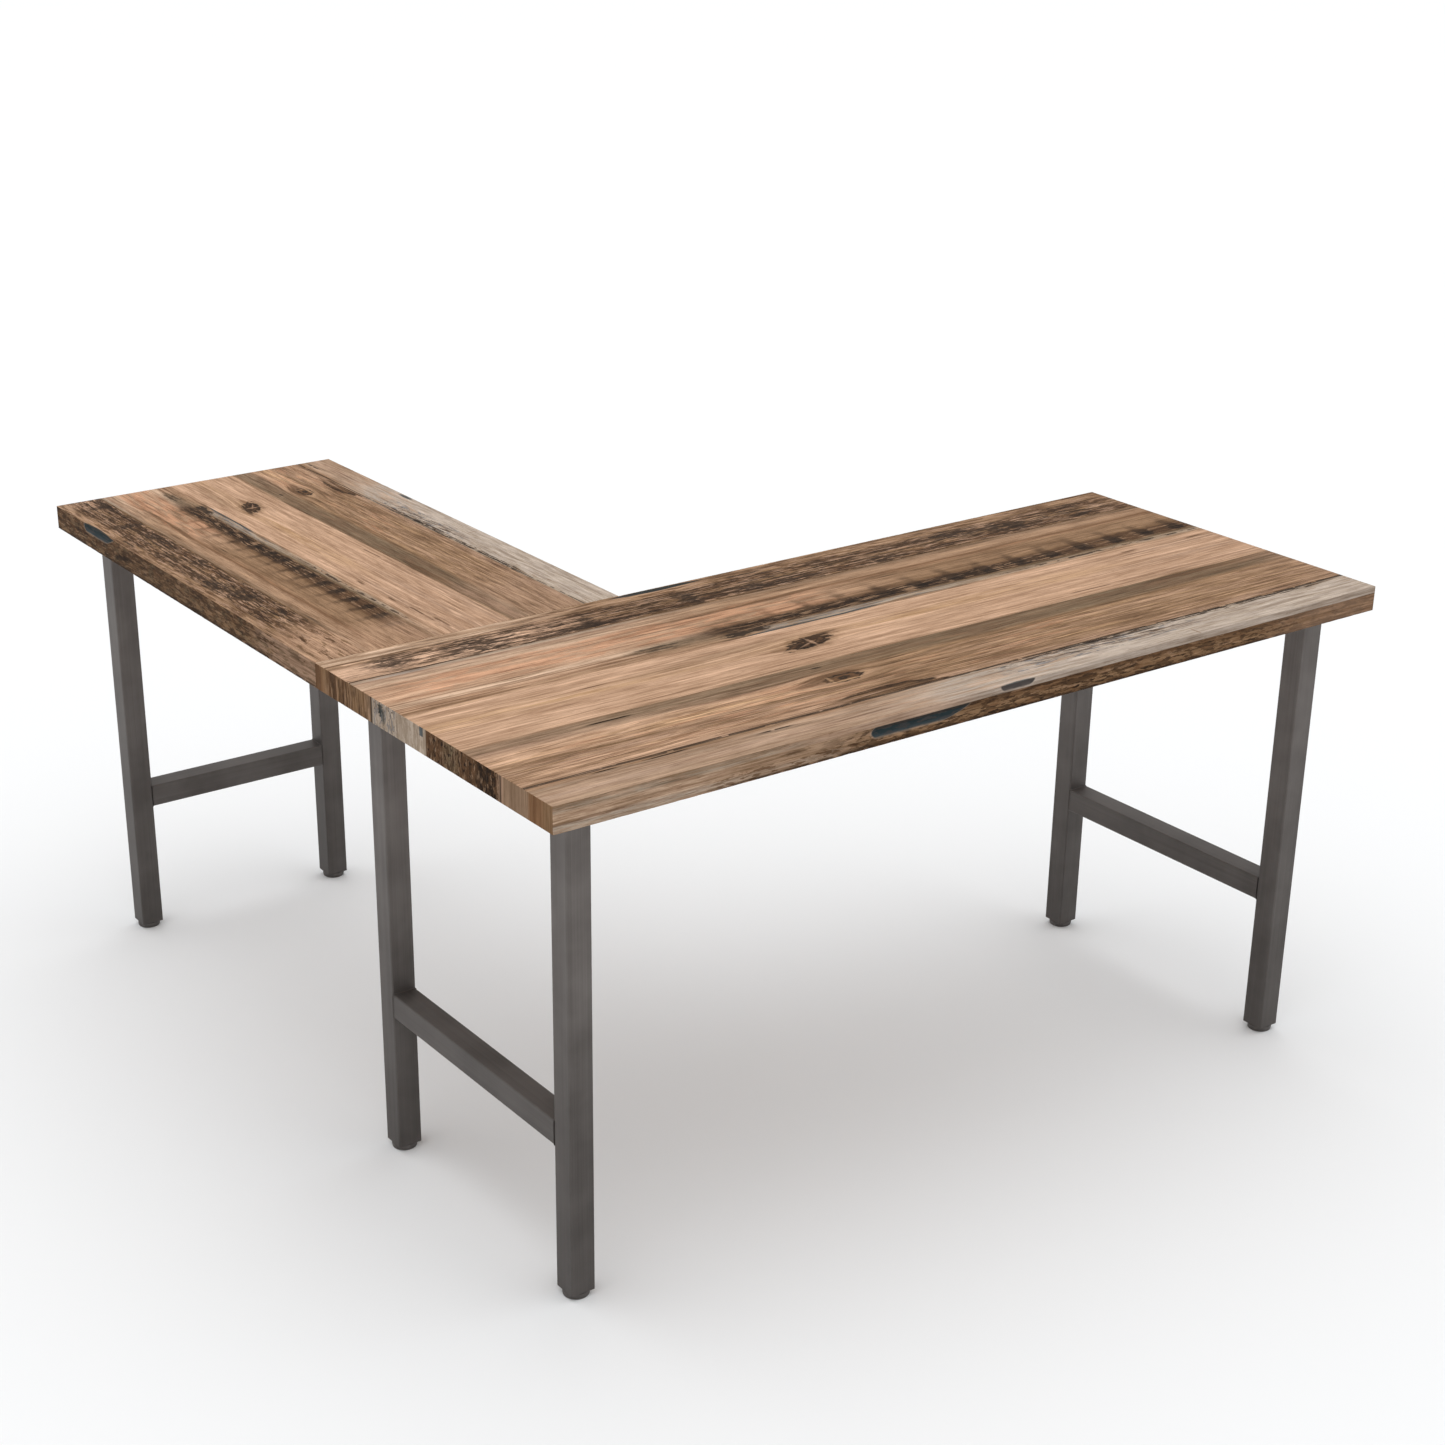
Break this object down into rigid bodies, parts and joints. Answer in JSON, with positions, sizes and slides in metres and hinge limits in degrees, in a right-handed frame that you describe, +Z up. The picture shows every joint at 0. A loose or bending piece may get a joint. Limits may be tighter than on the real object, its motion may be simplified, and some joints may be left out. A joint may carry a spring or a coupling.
{
  "type": "corner desk",
  "caption": "L-shaped plank-top corner desk on welded square-tube frames, with a long main top, a shorter return and threaded levelling feet.",
  "frame": {"origin": "on the floor, under the middle of the outline that holds both tops", "axes": "+Z up, +X along the main top from its free left end to the right, +Y from the main top's front edge to the far end of the return"},
  "size_m": [1.4732, 1.524, 0.762],
  "materials": {
    "plank_pale": "weathered pale board, fine grain, faded white wash",
    "plank_brown": "oiled brown board, fine straight grain",
    "plank_peach": "light sanded pine board with knots",
    "plank_tan": "tan board with a dark weathered streak",
    "plank_dark": "rough dark board with black speckled grain",
    "frame_steel": "dark warm grey brushed steel, satin clear coat",
    "fastener_steel": "zinc plated",
    "insert_nylon": "moulded black nylon",
    "foot_nylon": "moulded dark grey nylon, satin"
  },
  "bodies": {
    "desk": {"main_plank_1": "plank_pale", "main_plank_2": "plank_brown", "main_plank_3": "plank_peach", "main_plank_4": "plank_tan", "main_plank_5": "plank_dark", "return_plank_1": "plank_dark", "return_plank_2": "plank_tan", "return_plank_3": "plank_peach", "return_plank_4": "plank_brown", "return_plank_5": "plank_pale", "leg_left_front": "frame_steel", "insert_left_front": "insert_nylon", "leg_left_back": "frame_steel", "insert_left_back": "insert_nylon", "leg_right_front": "frame_steel", "insert_right_front": "insert_nylon", "leg_right_back": "frame_steel", "insert_right_back": "insert_nylon", "leg_return_outer": "frame_steel", "insert_return_outer": "insert_nylon", "leg_return_inner": "frame_steel", "insert_return_inner": "insert_nylon", "rail_left": "frame_steel", "mounting_bar_left": "frame_steel", "rail_right": "frame_steel", "mounting_bar_right": "frame_steel", "rail_return": "frame_steel", "mounting_bar_return": "frame_steel", "joining_plate": "frame_steel", "screw_left_1": "fastener_steel", "screw_left_2": "fastener_steel", "screw_left_3": "fastener_steel", "screw_left_4": "fastener_steel", "screw_left_5": "fastener_steel", "screw_right_1": "fastener_steel", "screw_right_2": "fastener_steel", "screw_right_3": "fastener_steel", "screw_right_4": "fastener_steel", "screw_right_5": "fastener_steel", "screw_return_1": "fastener_steel", "screw_return_2": "fastener_steel", "screw_return_3": "fastener_steel", "screw_return_4": "fastener_steel", "screw_return_5": "fastener_steel", "screw_joint_1": "fastener_steel", "screw_joint_2": "fastener_steel", "screw_joint_3": "fastener_steel", "screw_joint_4": "fastener_steel"},
    "stud_left_front": {"stud_left_front": "fastener_steel"},
    "foot_left_front": {"foot_left_front": "foot_nylon"},
    "stud_left_back": {"stud_left_back": "fastener_steel"},
    "foot_left_back": {"foot_left_back": "foot_nylon"},
    "stud_right_front": {"stud_right_front": "fastener_steel"},
    "foot_right_front": {"foot_right_front": "foot_nylon"},
    "stud_right_back": {"stud_right_back": "fastener_steel"},
    "foot_right_back": {"foot_right_back": "foot_nylon"},
    "stud_return_outer": {"stud_return_outer": "fastener_steel"},
    "foot_return_outer": {"foot_return_outer": "foot_nylon"},
    "stud_return_inner": {"stud_return_inner": "fastener_steel"},
    "foot_return_inner": {"foot_return_inner": "foot_nylon"}
  },
  "joints": [
    {"name": "travel_left_front", "type": "slide", "parent": "desk", "child": "stud_left_front", "axis": [0, 0, -1], "range_m": [0, 0.02]},
    {"name": "turn_left_front", "type": "hinge", "parent": "stud_left_front", "child": "foot_left_front", "pos_m": [-0.66675, -0.69215, 0.0047], "axis": [0, 0, -1], "range_deg": [0, 4800]},
    {"name": "travel_left_back", "type": "slide", "parent": "desk", "child": "stud_left_back", "axis": [0, 0, -1], "range_m": [0, 0.02]},
    {"name": "turn_left_back", "type": "hinge", "parent": "stud_left_back", "child": "foot_left_back", "pos_m": [-0.66675, -0.22225, 0.0047], "axis": [0, 0, -1], "range_deg": [0, 4800]},
    {"name": "travel_right_front", "type": "slide", "parent": "desk", "child": "stud_right_front", "axis": [0, 0, -1], "range_m": [0, 0.02]},
    {"name": "turn_right_front", "type": "hinge", "parent": "stud_right_front", "child": "foot_right_front", "pos_m": [0.66675, -0.69215, 0.0047], "axis": [0, 0, -1], "range_deg": [0, 4800]},
    {"name": "travel_right_back", "type": "slide", "parent": "desk", "child": "stud_right_back", "axis": [0, 0, -1], "range_m": [0, 0.02]},
    {"name": "turn_right_back", "type": "hinge", "parent": "stud_right_back", "child": "foot_right_back", "pos_m": [0.66675, -0.22225, 0.0047], "axis": [0, 0, -1], "range_deg": [0, 4800]},
    {"name": "travel_return_outer", "type": "slide", "parent": "desk", "child": "stud_return_outer", "axis": [0, 0, -1], "range_m": [0, 0.02]},
    {"name": "turn_return_outer", "type": "hinge", "parent": "stud_return_outer", "child": "foot_return_outer", "pos_m": [-0.66675, 0.69215, 0.0047], "axis": [0, 0, -1], "range_deg": [0, 4800]},
    {"name": "travel_return_inner", "type": "slide", "parent": "desk", "child": "stud_return_inner", "axis": [0, 0, -1], "range_m": [0, 0.02]},
    {"name": "turn_return_inner", "type": "hinge", "parent": "stud_return_inner", "child": "foot_return_inner", "pos_m": [-0.29845, 0.69215, 0.0047], "axis": [0, 0, -1], "range_deg": [0, 4800]}
  ],
  "couplings": [
    {"joint": "turn_left_front", "follows": "travel_left_front", "rad_per_m": 4188.8},
    {"joint": "turn_left_back", "follows": "travel_left_back", "rad_per_m": 4188.8},
    {"joint": "turn_right_front", "follows": "travel_right_front", "rad_per_m": 4188.8},
    {"joint": "turn_right_back", "follows": "travel_right_back", "rad_per_m": 4188.8},
    {"joint": "turn_return_outer", "follows": "travel_return_outer", "rad_per_m": 4188.8},
    {"joint": "turn_return_inner", "follows": "travel_return_inner", "rad_per_m": 4188.8}
  ]
}
